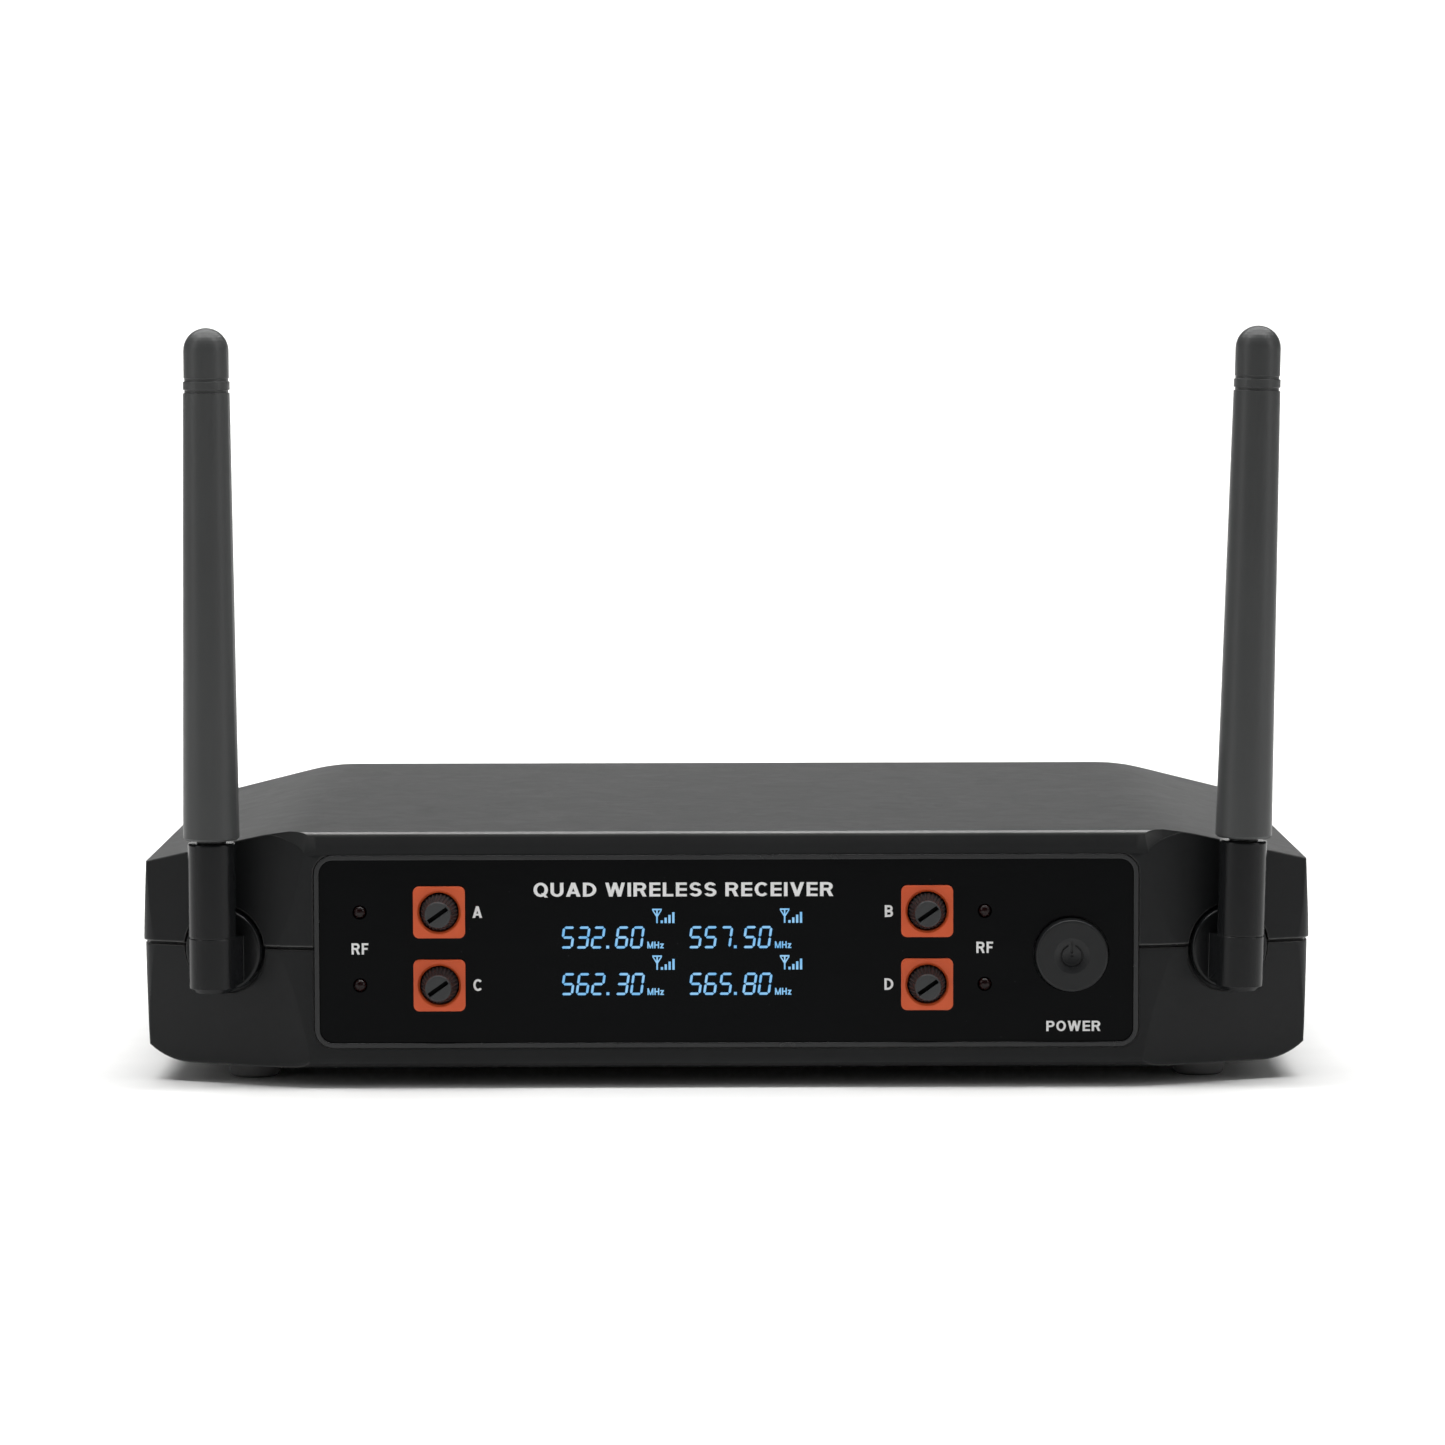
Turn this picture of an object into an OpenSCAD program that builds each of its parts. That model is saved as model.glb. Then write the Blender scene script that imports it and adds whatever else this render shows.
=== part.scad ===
// Four-channel wireless microphone receiver: a two-part moulded case with a
// gloss front panel, a rear socket plate and two antennas on swivelling hubs.
// Millimetres. X runs to the right, Y from front to back, Z up, with the
// feet standing on Z = 0 and the origin under the middle of the whole unit.

/* [Case] */
// Width of the case at its parting line
case_w = 260; // [250:1:270]
// Depth of the case from the front plane to the rear rim
case_d = 165; // [155:1:180]
// Height of the case without its feet
case_h = 53; // [52:0.5:56]
// Height of the parting line above the case floor
part_h = 27.2; // [27:0.1:28]
// Wall thickness of both shells
wall = 2.4; // [2.2:0.1:2.6]
// Angle by which the front corners are swept back
sweep = 20; // [16:1:22]
// Half width of the straight middle of the front
front_flat = 90; // [89:0.5:92]
// Radius that blends the straight front into the swept corners
blend_r = 32; // [24:1:36]
// Half width of the level middle of the crown
crown_flat = 92; // [86:1:96]
// Slope of the crown beside its level middle
crown_slope = 14; // [10:1:15]
// Radius of the rounded top edge over the front panel
brow_r = 6; // [5:0.5:7]
// Depth and height of the groove along the parting line
groove = 0.7; // [0.5:0.1:0.9]

/* [Front panel] */
// Half width of the gloss panel
panel_half_w = 89.6; // [89.2:0.1:89.8]
// Lower edge of the gloss panel above the floor of the room
panel_low = 10.2; // [9.8:0.1:10.6]
// Upper edge of the gloss panel above the floor of the room
panel_high = 50.7; // [50:0.1:50.9]
// Width of the satin rim around the gloss panel
rim_w = 1.1; // [0.9:0.1:1.2]
// Thickness of the gloss panel
panel_t = 2; // [1.8:0.1:2.2]

/* [Controls] */
// Distance of the left pair of volume controls from the middle
left_pair = 63.2; // [62:0.1:64]
// Distance of the right pair of volume controls from the middle
right_pair = 44.2; // [43:0.1:46]
// Height of the lower row of controls
row_low = 23; // [22:0.1:23.5]
// Pitch between the two rows of controls
row_pitch = 16.2; // [15.5:0.1:16.5]
// Side of a coloured knob surround
surround_w = 11.4; // [11:0.1:11.8]
// Diameter of a volume knob over its teeth
knob_d = 8.1; // [7.8:0.1:8.4]
// Angle of a knob's screwdriver slot above the horizontal
slot_angle = 35; // [0:5:90]
// Diameter of the power button
button_d = 15.9; // [15:0.1:16.4]
// Travel of the power button
button_travel = 2; // [1.5:0.1:2.2]

/* [Antennas] */
// Distance of an antenna hub from the middle of the unit
hub_x = 111.2; // [110:0.1:112]
// Radius of a hub disc
hub_r = 9.1; // [8.8:0.1:9.3]
// Radius of the upright barrel on a hub
barrel_r = 5.2; // [5:0.1:5.4]
// Depth of a hub's centre below the parting line
hub_drop = 0.9; // [0:0.1:1.2]
// Distance of the whip's axis from the face that carries the hub
whip_off = 5.7; // [5.6:0.1:6.4]
// Radius of a whip at its lower end
whip_r = 6.2; // [5.8:0.1:6.2]
// Height of a whip's tip above its hub
whip_top = 137.2; // [110:0.1:150]
// Lean of the right whip away from the vertical at rest
right_lean = 1.5; // [0:0.5:5]

/* [Rear sockets] */
// Pitch between neighbouring balanced outputs
xlr_pitch = 32; // [30:0.5:34]
// Height of the sockets above the floor of the room
socket_z = 28; // [27:0.5:29]

/* [Feet] */
// Height of the case floor above the floor of the room
foot_h = 4; // [3.5:0.1:5]
// Diameter of a rubber foot
foot_d = 12; // [11:0.5:14]

/* [Hidden] */
$fn = 48;
channels = ["a", "b", "c", "d"];
sides = ["left", "right"];
corners = ["front_left", "front_right", "rear_left", "rear_right"];
function each_of(stem, ends) = [for (e = ends) str(stem, e)];

half_w = case_w / 2;
// how far whips stand in front of the front plane, and sockets behind the rear rim
front_proud = whip_r + whip_off * cos(sweep) - (hub_x - front_flat - blend_r * sin(sweep)) * tan(sweep)
    - blend_r * (1 - cos(sweep));
rear_proud = 2.6;
front_y = (front_proud - case_d - rear_proud) / 2;
seam_z = foot_h + part_h;
fit = 0.05;
gap = 0.1;

// shell profile radii
corner_r = 5;
rear_r = 6;
belly_r = 15;
belly_flat = 119;
belly_turn = 42;
crown_r = 50;
edge_r = 2.5;
draft_up = 2.8;
corner_draft = 3;

// panel opening and rear opening
rim_r = 4.2;
opening_gap = 0.15;
open_half_w = panel_half_w + rim_w;
open_low = panel_low - rim_w;
open_high = panel_high + rim_w;
rear_half_w = 97;
rear_low = 9;
rear_high = 46.5;
plate_back = 1.2;
plate_t = 2;

// controls
row_high = row_low + row_pitch;
led_left = -80.7;
led_right = 56.9;
button_x = 75.9;
button_z = 29.6;
panel_y = 0.25;
knob_foot = 1.6;     // how far the knob's skirt reaches behind the panel's face
knob_grip = 4.6;
board_y = 15;
board_t = 1.6;
pot_front = 8.4;
shaft_r = 3;
shaft_nose_r = 2.2;

// antenna hubs, in the hub's own frame: Z out of the swept face, Y up
disc_proud = 0.9;
recess_d = 1.6;
axle_r = 4;
axle_end = 9;
boss_end = 6;
boss_r = 12;
barrel_low = -8.6;
barrel_high = 24.4;
whip_low = 25.1;

// main board and fasteners
deck_z = 12;
deck_half_w = 100;
deck_front = 30;
deck_back = 142;
screw_x = 114;
screw_y = [42, 134];
post_x = 92;
foot_x = 106;
foot_y = [21, 146];

function chan_x(c) = c == "a" || c == "c" ? -left_pair : right_pair;
function chan_z(c) = c == "a" || c == "b" ? row_high : row_low;
function led_x(c) = c == "a" || c == "c" ? led_left : led_right;
function side_of(s) = s == "left" ? -1 : 1;
function channel_index(c) = [for (i = [0:3]) if (channels[i] == c) i][0];

// ---- outlines -------------------------------------------------------------

// points on an arc about c, from angle a0 to angle a1, in n steps
function arc(c, r, a0, a1, n) =
    [for (i = [0:n]) let (a = a0 + (a1 - a0) * i / n) c + r * [cos(a), sin(a)]];

// a right half outline followed by its mirror image
function both_halves(half) =
    concat(half, [for (i = [len(half) - 1:-1:0]) [-half[i].x, half[i].y]]);

// where the blend arc runs out into the swept corner
blend_end = [front_flat + blend_r * sin(sweep), blend_r * (1 - cos(sweep))];

// depth of the swept face behind the front plane at a distance x from the middle
function swept_depth(x) = blend_end.y + (x - blend_end.x) * tan(sweep);

// the case seen from above, pulled in by an even amount
function plan_half(inset) =
    let (c = half_w - corner_r)
    concat(
        arc([front_flat, blend_r], blend_r - inset, -90, sweep - 90, 8),
        arc([c, blend_end.y + (corner_r + sin(sweep) * (c - blend_end.x)) / cos(sweep)],
            corner_r - inset, sweep - 90, 0, 8),
        arc([half_w - rear_r, case_d - rear_r], rear_r - inset, 0, 90, 8));

// the case seen from the front: belly, drafted sides and sloping crown
function front_half(inset) =
    let (t = tan(crown_slope), k = tan(draft_up),
        c = [crown_flat, case_h - crown_r],
        e = c + (crown_r - inset) * [sin(crown_slope), cos(crown_slope)],
        w = half_w - inset,
        z_top = (e.y - (w + part_h * k - e.x) * t) / (1 - k * t))
    concat(
        arc([belly_flat, belly_r], belly_r - inset, -90, belly_turn - 90, 8),
        [[w, part_h], [w - (z_top - part_h) * k, z_top]],
        arc(c, crown_r - inset, 90 - crown_slope, 90, 8));

// the case seen from the side: a rounded brow over the panel, softened edges
function side_outline(inset) =
    concat(
        arc([edge_r, edge_r], edge_r - inset, 180, 270, 4),
        arc([case_d - edge_r, edge_r], edge_r - inset, 270, 360, 4),
        arc([case_d - edge_r, case_h - edge_r], edge_r - inset, 0, 90, 4),
        arc([brow_r, case_h - brow_r], brow_r - inset, 90, 180, 9));

module plan_prism(inset, low, high)
    translate([0, front_y, low])
        linear_extrude(high - low)
            polygon(both_halves(plan_half(inset)));

// the outer form of the case, or its cavity when pulled in by the wall
module case_form(inset, low, high)
    difference() {
        drafted_form(inset, low, high);
        // the swept faces lean back above and below the parting line
        for (s = sides, up = [-1, 1])
            on_swept_face(s)
                translate([0, 0, -inset]) rotate([-up * corner_draft, 0, 0])
                    translate([-40, up > 0 ? 0 : -40, 0]) cube([80, 40, 20]);
    }

module drafted_form(inset, low, high)
    intersection() {
        plan_prism(inset, low, high);
        translate([0, front_y + case_d, foot_h])
            rotate([90, 0, 0])
                linear_extrude(case_d)
                    polygon(both_halves(front_half(inset)));
        translate([-half_w, front_y, foot_h])
            rotate([90, 0, 90])
                linear_extrude(case_w)
                    polygon(side_outline(inset));
    }

// a flat plate with rounded corners between two heights, facing front
module face_plate(half_width, low, high, r, y0, y1)
    translate([0, front_y + y1, 0])
        rotate([90, 0, 0])
            linear_extrude(y1 - y0)
                rounded_face(half_width, low, high, r);

module rounded_face(half_width, low, high, r) {
    translate([-half_width, low + r]) square([2 * half_width, high - low - 2 * r]);
    translate([-half_width + r, low]) square([2 * (half_width - r), high - low]);
    for (x = [-1, 1], z = [low + r, high - r])
        translate([x * (half_width - r), z]) circle(r);
}

// a rod along Y, from one depth behind the front plane to another
module rod(x, z, r, y0, y1)
    translate([x, front_y + y1, z])
        rotate([90, 0, 0]) cylinder(r = r, h = y1 - y0);

// places children at a point on the panel: Z out to the front, Y up
module on_front(x, z, y = 0)
    translate([x, front_y + y, z]) rotate([90, 0, 0]) children();

// places children on the rear plate: Z out to the back, Y up
module on_rear(x, z)
    translate([x, front_y + case_d - plate_back, z]) rotate([90, 0, 180]) children();

// places children on a swept face, level with the parting line: Z out, Y up
module on_swept_face(s)
    translate([side_of(s) * hub_x, front_y + swept_depth(hub_x), seam_z])
        rotate([90, 0, side_of(s) * sweep]) children();

// places children at a hub's centre: Z out of the swept face, Y up
module on_hub(s)
    on_swept_face(s) translate([0, -hub_drop, 0]) children();

// a bar with round ends, flat on the XY plane and centred
module stadium(length, width, h) {
    linear_extrude(h) {
        square([length - width, width], center = true);
        for (x = [-1, 1]) translate([x * (length - width) / 2, 0]) circle(width / 2);
    }
}

// ---- case -----------------------------------------------------------------

// everything that is cut out of both shells alike
module shell_cutouts() {
    face_plate(open_half_w + opening_gap, open_low - opening_gap,
        open_high + opening_gap, rim_r + opening_gap, -1, 2.7);
    face_plate(rear_half_w, rear_low, rear_high, 3, case_d - 6, case_d + 1);
    for (s = sides) on_hub(s) {
        translate([0, 0, -recess_d]) cylinder(r = hub_r + 0.7, h = 4);
        translate([0, 0, -axle_end - 1]) cylinder(r = axle_r + fit, h = axle_end + 2);
    }
}

// bearing bosses behind the hub recesses; each shell holds one half of each
module hub_bosses()
    for (s = sides) on_hub(s)
        translate([0, 0, -boss_end]) cylinder(r = boss_r, h = boss_end - 0.2);

module top_shell() {
    low = seam_z + groove / 2;
    high = foot_h + case_h + 1;
    color("#2b2c2d")
    difference() {
        union() {
            difference() {
                case_form(0, low, high);
                difference() {
                    case_form(wall, low - 1, high);
                    top_inner_parts();
                }
                // rebate for the tongue of the bottom shell
                difference() {
                    plan_prism(wall / 2 - gap, low - 1, seam_z + groove + 2);
                    plan_prism(wall + gap, low - 2, seam_z + groove + 3);
                }
            }
            intersection() {
                case_form(wall / 2, seam_z + gap / 2, high);
                hub_bosses();
            }
        }
        shell_cutouts();
        for (x = [-1, 1], y = screw_y)
            translate([x * screw_x, front_y + y, seam_z - 8]) cylinder(r = 1.25, h = 22);
    }
}

// screw bosses and cross ribs under the crown
module top_inner_parts() {
    for (x = [-1, 1], y = screw_y)
        translate([x * screw_x, front_y + y, seam_z]) cylinder(r = 4, h = case_h - part_h);
    for (x = [-84, -42, 0, 42, 84])
        translate([x - 0.75, front_y + 24, foot_h + case_h - wall - 2.5])
            cube([1.5, case_d - 48, 5]);
    for (y = [52, 112])
        translate([-95, front_y + y, foot_h + case_h - wall - 2])
            cube([190, 1.5, 5]);
}

module bottom_shell() {
    lip = seam_z - groove / 2;
    color("#28292a")
    difference() {
        union() {
            difference() {
                case_form(0.4, 0, lip);
                difference() {
                    case_form(wall, 0, lip + 1);
                    bottom_inner_parts();
                }
            }
            // tongue that reaches up inside the top shell
            difference() {
                plan_prism(wall / 2, lip - 1, seam_z + groove + 1.9);
                plan_prism(wall, lip - 2, seam_z + groove + 3);
            }
            intersection() {
                case_form(wall / 2, 0, seam_z - gap / 2);
                hub_bosses();
            }
        }
        shell_cutouts();
        // clearance for the upper halves of the hub bosses
        for (s = sides) on_swept_face(s)
            translate([-boss_r - gap, gap / 2, -boss_end - 1])
                cube([2 * (boss_r + gap), 8, boss_end + 1]);
        for (x = [-1, 1], y = screw_y) translate([x * screw_x, front_y + y, 0]) {
            cylinder(r = 3.2, h = seam_z - 8);
            cylinder(r = 1.7, h = seam_z + 10);
        }
        for (x = [-1, 1], y = foot_y)
            translate([x * foot_x, front_y + y, 0]) cylinder(r = foot_d / 2 + 0.15, h = foot_h + 1);
        vents();
    }
}

// screw pillars, board posts and the slotted guides of the front board
module bottom_inner_parts() {
    for (x = [-1, 1], y = screw_y) translate([x * screw_x, front_y + y, foot_h])
        cylinder(r = 5, h = part_h + groove + 2);
    for (x = [-1, 1], y = screw_y) translate([x * post_x, front_y + y, 0])
        difference() {
            cylinder(r = 3.4, h = deck_z - 0.02);
            translate([0, 0, foot_h + 2]) cylinder(r = 1.1, h = deck_z);
        }
    for (x = [-1, 1]) translate([x * 87, front_y + board_y + board_t / 2, foot_h + 1])
        difference() {
            translate([-3, -4, 0]) cube([6, 8, 22]);
            translate([-4, -board_t / 2 - gap, 8]) cube([8, board_t + 2 * gap, 20]);
        }
}

// two rows of cooling slots in the floor
module vents()
    for (side = [-1, 1], i = [0:7])
        translate([side * (24 + 7 * i), front_y + case_d / 2, foot_h - 1])
            rotate([0, 0, 90]) stadium(34, 2.4, wall + 2);

module rear_plate() {
    outer = case_d - plate_back;
    color("#1d1e1f")
    difference() {
        union() {
            face_plate(rear_half_w - opening_gap, rear_low + opening_gap,
                rear_high - opening_gap, 2.8, outer - plate_t, outer);
            face_plate(rear_half_w + 3, rear_low - 2, rear_high + 2, 3,
                case_d - wall - gap - 1.6, case_d - wall - gap);
        }
        for (c = channels) {
            rod(xlr_x(c), socket_z, 11.9, case_d - 8, case_d + 1);
            for (p = xlr_screw_spots())
                rod(xlr_x(c) + p.x, socket_z + p.y, 1.3, case_d - 8, case_d + 1);
        }
        rod(mix_x, socket_z, 4.8, case_d - 8, case_d + 1);
        translate([dc_x - 4.7, front_y + case_d - 8, socket_z - 5.8]) cube([9.4, 10, 11.6]);
    }
}

// ---- front panel ----------------------------------------------------------

module panel_bezel() {
    color("#343536")
    difference() {
        union() {
            face_plate(open_half_w, open_low, open_high, rim_r, -0.3, 4.2);
            face_plate(open_half_w + 2.2, open_low - 1.6, open_high + 0.4, rim_r, 2.75, 4.2);
        }
        face_plate(panel_half_w + fit, panel_low - fit, panel_high + fit, rim_r - rim_w, -1,
            panel_y + panel_t + fit);
        face_plate(panel_half_w - 1.2, panel_low + 1.2, panel_high - 1.2, rim_r - rim_w, -1, 6);
    }
}

module front_panel() {
    color("#0d0e10")
    difference() {
        face_plate(panel_half_w, panel_low, panel_high, rim_r - rim_w,
            panel_y, panel_y + panel_t);
        for (c = channels) {
            on_front(chan_x(c), chan_z(c), panel_y + panel_t + 1)
                linear_extrude(panel_t + 2)
                    rounded_square(surround_w - 0.8, 1);
            rod(led_x(c), chan_z(c), 1.55, -1, panel_t + 2);
        }
        rod(button_x, button_z, button_d / 2 + 0.45, -1, panel_t + 2);
    }
}

module rounded_square(w, r)
    translate([0, -w / 2]) rounded_face(w / 2, 0, w, r);

module knob_surround(c) {
    color("#c2562e")
    on_front(chan_x(c), chan_z(c), panel_y)
        difference() {
            union() {
                linear_extrude(0.8) rounded_square(surround_w, 1.3);
                translate([0, 0, -panel_t - 0.6])
                    linear_extrude(panel_t + 0.8) rounded_square(surround_w - 0.9, 1);
            }
            translate([0, 0, -panel_t - 1]) cylinder(r = knob_d / 2 + 0.3, h = panel_t + 3);
            // shallow dish that runs round the knob
            translate([0, 0, 0.35]) cylinder(r1 = knob_d / 2 + 0.3, r2 = knob_d / 2 + 0.8, h = 0.5);
        }
}

// a tapered knob, fluted to its shoulder, with a smooth cap and a slot to turn it by
module volume_knob(c) {
    teeth = 28;
    top = knob_foot + 6.05;
    shoulder = top - 0.9;
    cap_r = 2.9;
    lean = atan((knob_d / 2 - cap_r) / (shoulder - knob_foot - 0.4));
    color("#3a3c3d")
    on_front(chan_x(c), chan_z(c), panel_y + knob_foot)
        difference() {
            rotate_extrude()
                polygon(concat([[0, 0], [knob_d / 2, 0], [knob_d / 2, knob_foot + 0.4],
                    [cap_r, shoulder]],
                    arc([cap_r - 0.4, top - 0.4], 0.4, 0, 90, 4), [[0, top]]));
            for (i = [0:teeth - 1])
                rotate([0, 0, i * 360 / teeth])
                    translate([knob_d / 2 + 0.1, 0, knob_foot + 0.4])
                        rotate([0, -lean, 0])
                            translate([0, 0, -3]) cylinder(r = 0.34, h = top - knob_foot + 1.7, $fn = 16);
            rotate([0, 0, slot_angle])
                translate([-2.55, -0.48, top - 1.5]) cube([5.1, 0.96, 3]);
            translate([0, 0, -1]) cylinder(r = shaft_nose_r + 0.02, h = knob_grip + 1);
        }
}

// split shaft that the knob is pushed onto, with a flat rotor disc behind
module pot_shaft(c) {
    color("#c9cbcc")
    on_front(chan_x(c), chan_z(c)) {
        translate([0, 0, -pot_front - 2.4])
            cylinder(r = shaft_r, h = pot_front + 2.3 - panel_y - knob_foot);
        translate([0, 0, -panel_y - knob_foot - 1])
            cylinder(r = shaft_nose_r, h = knob_grip + 0.95);
        translate([0, 0, -pot_front - 3.2]) cylinder(r = 3.9, h = 0.9);
    }
}

// rotary control: square housing with an open rotor chamber and a bushing
module potentiometer(c) {
    back = board_y - 0.05;
    color("#4a5568")
    on_front(chan_x(c), chan_z(c))
        difference() {
            union() {
                translate([-4.75, -5.2, -back]) cube([9.5, 10.4, back - pot_front]);
                translate([0, 0, -pot_front - 0.5]) cylinder(r = 4, h = 4.5);
                for (x = [-2.5, 0, 2.5])
                    translate([x - 0.4, -6.6, -back + 0.2]) cube([0.8, 2, 0.6]);
            }
            translate([0, 0, -pot_front - 3.4]) cylinder(r = 4.1, h = 1.3);
            translate([0, 0, -pot_front - 3]) cylinder(r = shaft_r + fit, h = 12);
        }
}

// domed lens with a collar, and its two legs to the board
module rf_led(c) {
    color("#7a1511")
    on_front(led_x(c), chan_z(c)) {
        rotate_extrude()
            polygon(concat([[0, -6.5], [1.9, -6.5], [1.9, -5.4], [1.45, -5.4]],
                arc([0, -0.95], 1.45, 0, 90, 8)));
        for (x = [-0.8, 0.8])
            translate([x, 0, 0.05 - board_y]) cylinder(r = 0.25, h = board_y - 6, $fn = 16);
    }
}

// cup-shaped button with a softened rim, a dished emblem and a rear flange
module power_button() {
    r = button_d / 2;
    top = 3.7 - panel_y;
    flange = panel_y + panel_t + fit;
    color("#1b1c1d")
    on_front(button_x, button_z)
        difference() {
            union() {
                rotate_extrude($fn = 64)
                    polygon(concat([[0, -flange - 1.5], [r + 1.2, -flange - 1.5],
                        [r + 1.2, -flange], [r, -flange]],
                        arc([r - 0.5, top - 0.5], 0.5, 0, 90, 5), [[0, top]]));
            }
            translate([0, 0, top + 7.1]) sphere(r = 8.1, $fn = 96);
            translate([0, 0, -flange - 2]) cylinder(r = 3, h = 1.9);
            intersection() {
                translate([0, 0, top + 7.1]) sphere(r = 8.4, $fn = 96);
                power_symbol(top - 2);
            }
        }
}

// broken ring and upright bar, engraved
module power_symbol(z) {
    translate([0, 0, z]) linear_extrude(2) {
        difference() {
            circle(2.6);
            circle(2.15);
            translate([-0.75, 0]) square([1.5, 4]);
        }
        translate([-0.22, 0.5]) square([0.44, 2.5]);
    }
}

module switch_plunger() {
    start = panel_y + panel_t + fit + 0.15;
    color("#d8d8d2")
    on_front(button_x, button_z)
        translate([0, 0, -start - 8]) cylinder(r = 2.2, h = 8);
}

module power_switch() {
    color("#2f3133")
    on_front(button_x, button_z)
        difference() {
            translate([-6, -6, 0.05 - board_y]) cube([12, 12, 6.2]);
            translate([0, 0, 0.6 - board_y]) cylinder(r = 2.3, h = 8);
        }
}

// ---- boards ---------------------------------------------------------------

display_x = -9.7;
display_z = 31;

// metal frame around a glass, with standing legs to the board
module display_module() {
    color("#5f6b74")
    on_front(display_x, display_z) {
        difference() {
            translate([-34, -15, -9]) cube([68, 30, 6.2]);
            translate([-30, -11, -3.4]) cube([60, 22, 2]);
        }
        for (x = [-31, 31], z = [-12, 12])
            translate([x, z, 0.05 - board_y]) cylinder(r = 1.2, h = board_y - 8, $fn = 24);
    }
}

module front_board() {
    color("#1f5a38")
    face_plate(86, 13.2, 46, 1, board_y, board_y + board_t);
}

module main_board() {
    color("#1f5a38")
    difference() {
        translate([-deck_half_w, front_y + deck_front, deck_z])
            cube([2 * deck_half_w, deck_back - deck_front, board_t]);
        for (x = [-1, 1], y = screw_y)
            translate([x * post_x, front_y + y, deck_z - 1]) cylinder(r = 1.5, h = board_t + 2);
    }
}

// one screening can over each receiver section, open underneath
module rf_shields() {
    color("#b9bcc0")
    for (i = [0:3])
        translate([-66 + 44 * i, front_y + 84, deck_z + board_t])
            difference() {
                linear_extrude(9) rounded_square(36, 1.5);
                translate([0, 0, -1]) linear_extrude(9.4) rounded_square(34.8, 1.1);
                for (x = [-12, 0, 12], y = [-12, 0, 12])
                    translate([x, y, 7]) cylinder(r = 1.6, h = 4, $fn = 24);
            }
}

// flat cable from the front board, folded down onto the main board
module ribbon_cable() {
    start = board_y + board_t;
    color("#8f9296")
    translate([-12.7 + 30, front_y + start, 0])
        rotate([90, 0, 90]) linear_extrude(25.4) {
            translate([0.05, 27]) square([8, 1]);
            difference() {
                translate([8, 18]) circle(10);
                translate([8, 18]) circle(9);
                translate([-3, 7]) square([11.05, 22]);
                translate([-3, 7]) square([22, 11]);
            }
            translate([17, deck_z + board_t + 0.05]) square([1, 18.1 - deck_z - board_t]);
        }
}

// ---- rear sockets ---------------------------------------------------------

mix_x = 12 - 2 * xlr_pitch;
dc_x = mix_x - 26;
function xlr_x(c) = 78 - xlr_pitch * channel_index(c);
function xlr_screw_spots() = [[-9.5, 12], [9.5, -12]];
mouth_r = 9.5;
mouth_d = 15.5;

// panel connector: flanged shell whose mouth holds three recessed pins
module xlr_output(c) {
    color("#26282a")
    on_rear(xlr_x(c), socket_z)
        difference() {
            union() {
                linear_extrude(2)
                    rounded_face(13, -15.5, 15.5, 3);
                translate([0, 0, -18]) cylinder(r = 11.8, h = 19);
            }
            translate([0, 0, 2 - mouth_d]) cylinder(r = mouth_r, h = mouth_d + 1);
            // softened mouth and keyway
            translate([0, 0, 1.2]) cylinder(r1 = mouth_r, r2 = mouth_r + 0.9, h = 0.9);
            translate([-1.6, mouth_r - 1, 2 - mouth_d]) cube([3.2, 2.4, mouth_d + 1]);
            for (p = xlr_screw_spots())
                translate([-p.x, p.y, -1]) cylinder(r = 1.6, h = 5);
            for (p = pin_spots())
                translate([p.x, p.y, -19]) cylinder(r = 1.2 + fit, h = 10);
        }
}

function pin_spots() = [for (a = [30, 150, 270]) 5.4 * [cos(a), sin(a)]];

module xlr_pins() {
    color("#cfd2d4")
    for (c = channels) on_rear(xlr_x(c), socket_z)
        for (p = pin_spots())
            translate([p.x, p.y, -22]) rotate_extrude($fn = 32)
                polygon(concat([[0, 0], [1.2, 0]], arc([0.4, 17.8], 0.8, 0, 90, 4), [[0, 18.6]]));
}

// phone jack: square body, threaded collar and a blind bore
module mix_jack() {
    color("#2a2c2e")
    on_rear(mix_x, socket_z)
        difference() {
            union() {
                translate([-8, -8, -29]) cube([16, 16, 26]);
                translate([0, 0, -4]) cylinder(r = 4.7, h = 7.6);
            }
            translate([0, 0, -26]) cylinder(r = 3.2, h = 31);
        }
}

module mix_jack_nut() {
    color("#c4c6c8")
    on_rear(mix_x, socket_z)
        difference() {
            cylinder(r = 7.2, h = 2.6, $fn = 6);
            translate([0, 0, -1]) cylinder(r = 4.7 + fit, h = 5);
        }
}

// low-voltage inlet: a square housing round a contact pin
module dc_inlet() {
    color("#202224")
    on_rear(dc_x, socket_z) {
        difference() {
            translate([-4.5, -5.6, -13]) cube([9, 11.2, 13.4]);
            translate([0, 0, -9.5]) cylinder(r = 3.15, h = 11);
        }
        translate([0, 0, -10]) cylinder(r = 1, h = 9, $fn = 24);
    }
}

// ---- antennas -------------------------------------------------------------

function lean_of(s) = s == "left" ? 0 : -right_lean;

// turns children about the hub axis by the antenna's rest lean
module on_antenna(s) on_hub(s) rotate([0, 0, lean_of(s)]) children();

// tapering whip with two grooves under a domed tip
module antenna_whip(s) {
    groove_low = whip_top - 13.8;
    neck = 0.3;
    tip_r = 4.95;
    grooved_r = 5.1;
    color("#3b3c3d")
    on_antenna(s)
        translate([0, 0, whip_off]) rotate([-90, 0, 0])
            rotate_extrude($fn = 64)
                polygon(concat(
                    [[0, whip_low - 3], [3.2, whip_low - 3], [3.2, whip_low], [whip_r - 0.5, whip_low],
                    [whip_r, whip_low + 0.5], [grooved_r, groove_low - 0.4],
                    [grooved_r - neck, groove_low - 0.3], [grooved_r - neck, groove_low + 0.3],
                    [grooved_r, groove_low + 0.4], [grooved_r, groove_low + 2.1],
                    [grooved_r - neck, groove_low + 2.2], [grooved_r - neck, groove_low + 2.8],
                    [tip_r, groove_low + 2.9]],
                    arc([0, whip_top - tip_r], tip_r, 0, 90, 10)));
}

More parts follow.
